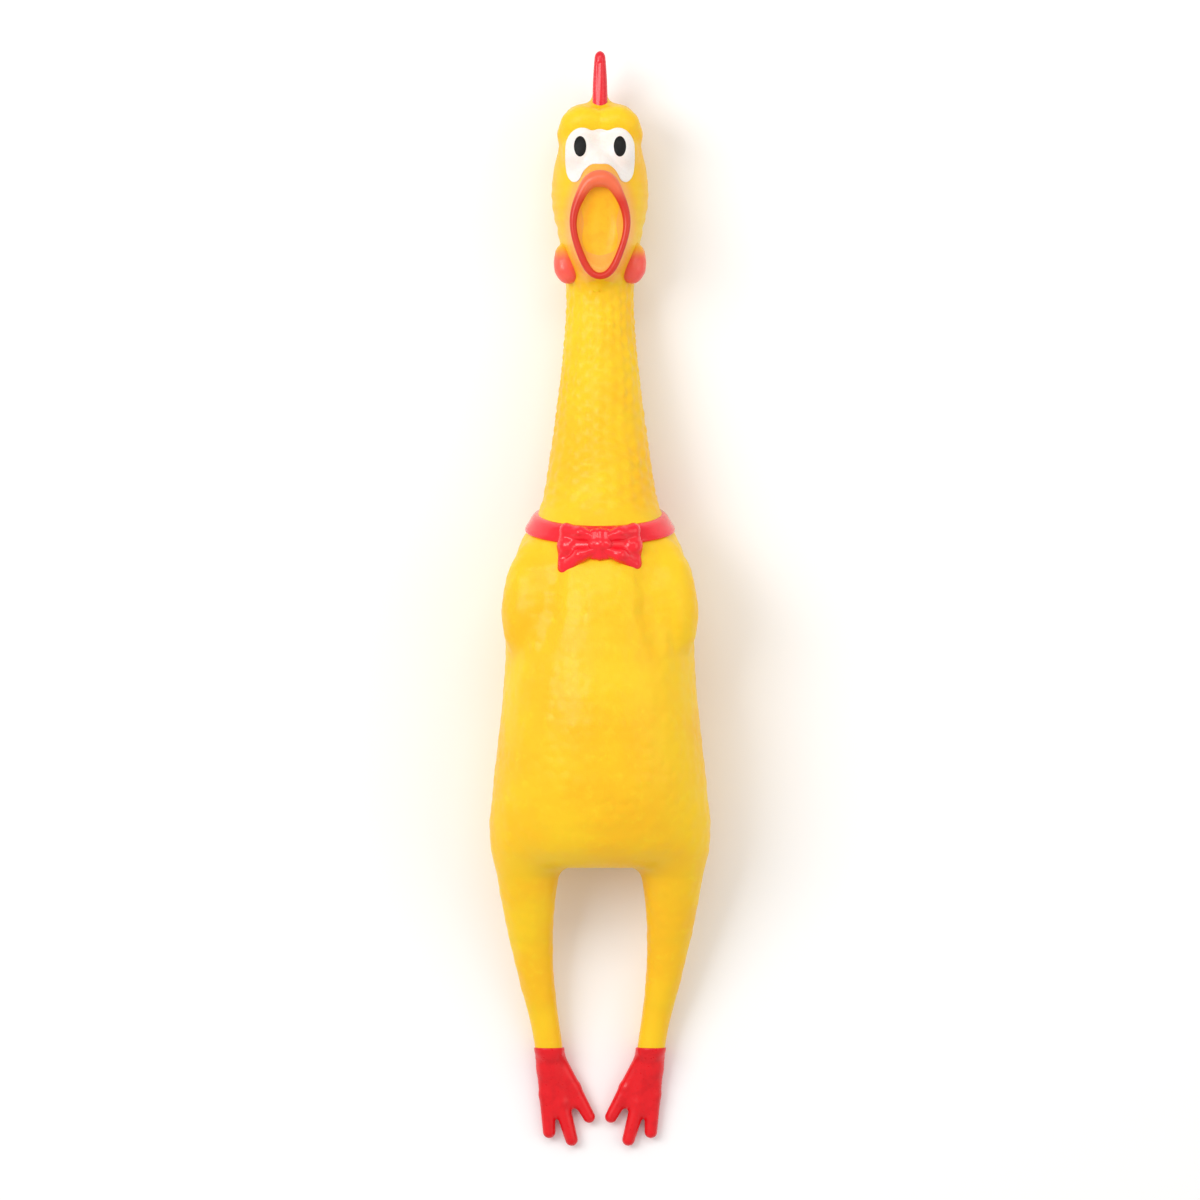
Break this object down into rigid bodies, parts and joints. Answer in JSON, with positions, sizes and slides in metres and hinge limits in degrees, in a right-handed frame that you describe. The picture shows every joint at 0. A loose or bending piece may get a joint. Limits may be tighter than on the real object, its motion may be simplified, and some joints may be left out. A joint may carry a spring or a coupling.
{
  "type": "rubber chicken squeeze toy",
  "caption": "Long plucked-chicken squeeze toy in soft vinyl, with an open beak, comb, wattles, collar with bow tie and webbed feet, lying on its back.",
  "frame": {"origin": "middle of the bounding box, on the plane the toy lies on", "axes": "+Y from the toes to the comb, +Z out of the belly, +X towards the chicken's own left"},
  "size_m": [0.0788, 0.4, 0.0643],
  "materials": {
    "yellow_vinyl": "soft gloss",
    "red_vinyl": "soft gloss",
    "mouth_paint": "satin",
    "eye_white": "painted",
    "eye_black": "painted",
    "white_plastic": "moulded"
  },
  "bodies": {
    "torso": {"torso_shell": "yellow_vinyl", "left_wing": "yellow_vinyl", "right_wing": "yellow_vinyl", "collar_band": "red_vinyl", "bow_knot": "red_vinyl", "bow_left_loop": "red_vinyl", "bow_right_loop": "red_vinyl", "whistle_cup": "white_plastic", "whistle_reed_plate": "white_plastic", "whistle_cap": "white_plastic"},
    "belly": {"belly_wall": "yellow_vinyl"},
    "reed": {"whistle_reed": "white_plastic"},
    "neck_root": {"neck_root_shell": "yellow_vinyl"},
    "neck_lower": {"neck_lower_shell": "yellow_vinyl"},
    "neck_middle": {"neck_middle_shell": "yellow_vinyl"},
    "neck_upper": {"neck_upper_shell": "yellow_vinyl"},
    "head": {"head_shell": "yellow_vinyl", "left_eye": "eye_white", "right_eye": "eye_white", "left_pupil": "eye_black", "right_pupil": "eye_black", "beak_rim": "red_vinyl", "mouth_lining": "mouth_paint", "left_wattle": "red_vinyl", "right_wattle": "red_vinyl"},
    "comb": {"comb": "red_vinyl"},
    "left_thigh": {"left_thigh_shell": "yellow_vinyl"},
    "left_shank": {"left_shank_shell": "yellow_vinyl"},
    "left_foot": {"left_foot": "red_vinyl"},
    "right_thigh": {"right_thigh_shell": "yellow_vinyl"},
    "right_shank": {"right_shank_shell": "yellow_vinyl"},
    "right_foot": {"right_foot": "red_vinyl"}
  },
  "joints": [
    {"name": "belly_squeeze", "type": "slide", "parent": "torso", "child": "belly", "axis": [0, 0, -1], "range_m": [0, 0.01], "stiffness_N_per_m": 400},
    {"name": "reed_flutter", "type": "hinge", "parent": "torso", "child": "reed", "pos_m": [0, -0.0836, 0.02762], "axis": [1, 0, 0], "range_deg": [-2, 2], "stiffness_Nm_per_rad": 0.0005},
    {"name": "neck_base_sway", "type": "hinge", "parent": "torso", "child": "neck_root", "pos_m": [0, 0.03792, 0.02682], "axis": [0, 0, 1], "range_deg": [-25, 25], "stiffness_Nm_per_rad": 2},
    {"name": "neck_nod", "type": "hinge", "parent": "neck_root", "child": "neck_lower", "pos_m": [0, 0.05676, 0.02432], "axis": [1, 0, 0], "range_deg": [-30, 30], "stiffness_Nm_per_rad": 2},
    {"name": "neck_twist", "type": "hinge", "parent": "neck_lower", "child": "neck_middle", "pos_m": [0, 0.0746, 0.02196], "axis": [0, 0.9913, -0.1314], "range_deg": [-40, 40], "stiffness_Nm_per_rad": 1.5},
    {"name": "neck_top_sway", "type": "hinge", "parent": "neck_middle", "child": "neck_upper", "pos_m": [0, 0.09046, 0.01985], "axis": [0, 0, 1], "range_deg": [-30, 30], "stiffness_Nm_per_rad": 1.2},
    {"name": "head_nod", "type": "hinge", "parent": "neck_upper", "child": "head", "pos_m": [0, 0.10533, 0.01788], "axis": [1, 0, 0], "range_deg": [-30, 30], "stiffness_Nm_per_rad": 1.2},
    {"name": "comb_flop", "type": "hinge", "parent": "head", "child": "comb", "pos_m": [0, 0.1801, 0.019], "axis": [0, 0, 1], "range_deg": [-25, 25], "stiffness_Nm_per_rad": 0.02},
    {"name": "left_hip_spread", "type": "hinge", "parent": "torso", "child": "left_thigh", "pos_m": [0.0264, -0.0955, 0.025], "axis": [0, 0, 1], "range_deg": [0, 24], "stiffness_Nm_per_rad": 1},
    {"name": "left_knee_fold", "type": "hinge", "parent": "left_thigh", "child": "left_shank", "pos_m": [0.025, -0.131, 0.0154], "axis": [1, 0, 0], "range_deg": [-30, 30], "stiffness_Nm_per_rad": 0.5},
    {"name": "left_ankle_flex", "type": "hinge", "parent": "left_shank", "child": "left_foot", "pos_m": [0.0194, -0.162, 0.0074], "axis": [1, 0, 0], "range_deg": [-35, 35], "stiffness_Nm_per_rad": 0.15},
    {"name": "right_hip_spread", "type": "hinge", "parent": "torso", "child": "right_thigh", "pos_m": [-0.0264, -0.0955, 0.025], "axis": [0, 0, -1], "range_deg": [0, 24], "stiffness_Nm_per_rad": 1},
    {"name": "right_knee_fold", "type": "hinge", "parent": "right_thigh", "child": "right_shank", "pos_m": [-0.025, -0.131, 0.0154], "axis": [1, 0, 0], "range_deg": [-30, 30], "stiffness_Nm_per_rad": 0.5},
    {"name": "right_ankle_flex", "type": "hinge", "parent": "right_shank", "child": "right_foot", "pos_m": [-0.0194, -0.162, 0.0074], "axis": [1, 0, 0], "range_deg": [-35, 35], "stiffness_Nm_per_rad": 0.15}
  ]
}
